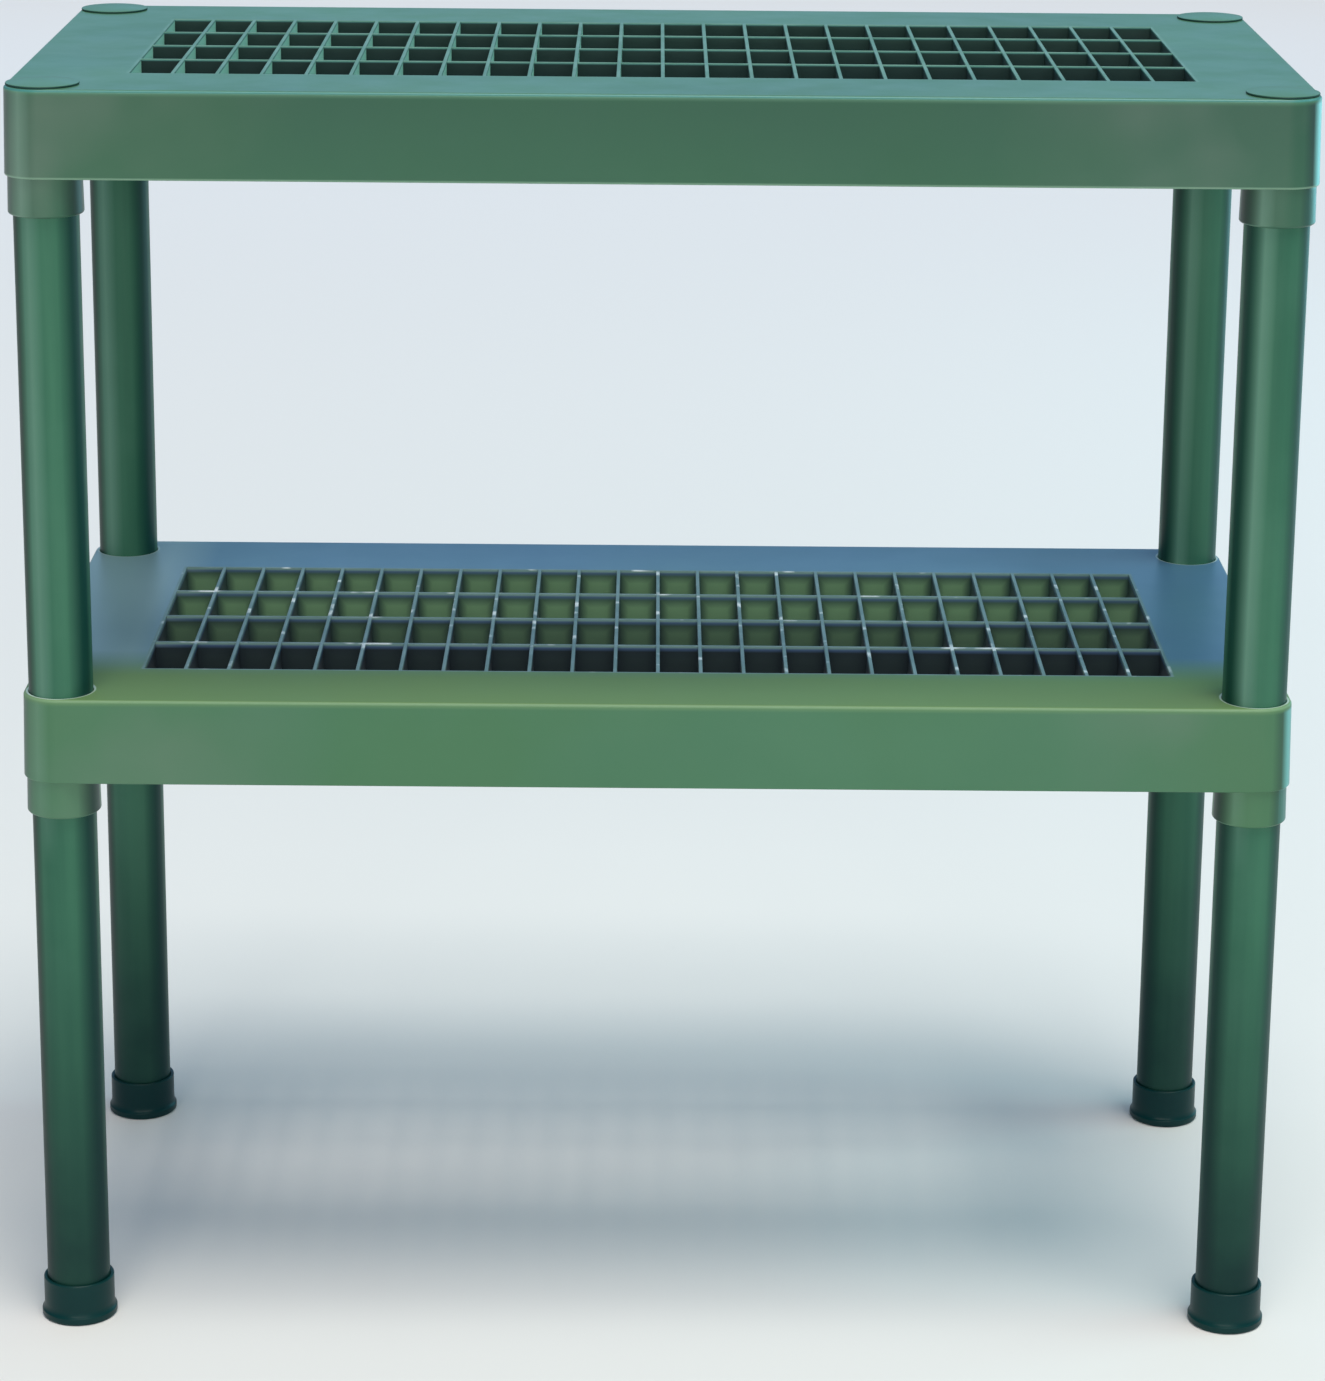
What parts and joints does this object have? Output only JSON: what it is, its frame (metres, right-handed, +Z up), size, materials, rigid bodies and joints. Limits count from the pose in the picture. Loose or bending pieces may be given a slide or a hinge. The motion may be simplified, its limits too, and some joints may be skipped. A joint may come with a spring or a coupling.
{
  "type": "greenhouse staging bench",
  "caption": "Two-tier knock-down plastic plant bench: lattice shelves with corner sockets on round push-fit tubes, with foot cups and plug caps.",
  "frame": {"origin": "on the floor under the middle of the bench", "axes": "+X along the shelves to the right, +Y from the front to the back, +Z up"},
  "size_m": [0.762, 0.372, 0.7732],
  "materials": {
    "shelf_plastic": "semi-gloss moulded green plastic with a faint mottle",
    "tube_plastic": "semi-gloss extruded green plastic",
    "foot_plastic": "satin dark green plastic"
  },
  "bodies": {
    "root": {"lower_shelf": "shelf_plastic", "upper_shelf": "shelf_plastic", "foot_front_left": "foot_plastic", "leg_front_left": "tube_plastic", "post_front_left": "tube_plastic", "cap_front_left": "shelf_plastic", "foot_front_right": "foot_plastic", "leg_front_right": "tube_plastic", "post_front_right": "tube_plastic", "cap_front_right": "shelf_plastic", "foot_back_left": "foot_plastic", "leg_back_left": "tube_plastic", "post_back_left": "tube_plastic", "cap_back_left": "shelf_plastic", "foot_back_right": "foot_plastic", "leg_back_right": "tube_plastic", "post_back_right": "tube_plastic", "cap_back_right": "shelf_plastic"}
  },
  "joints": []
}
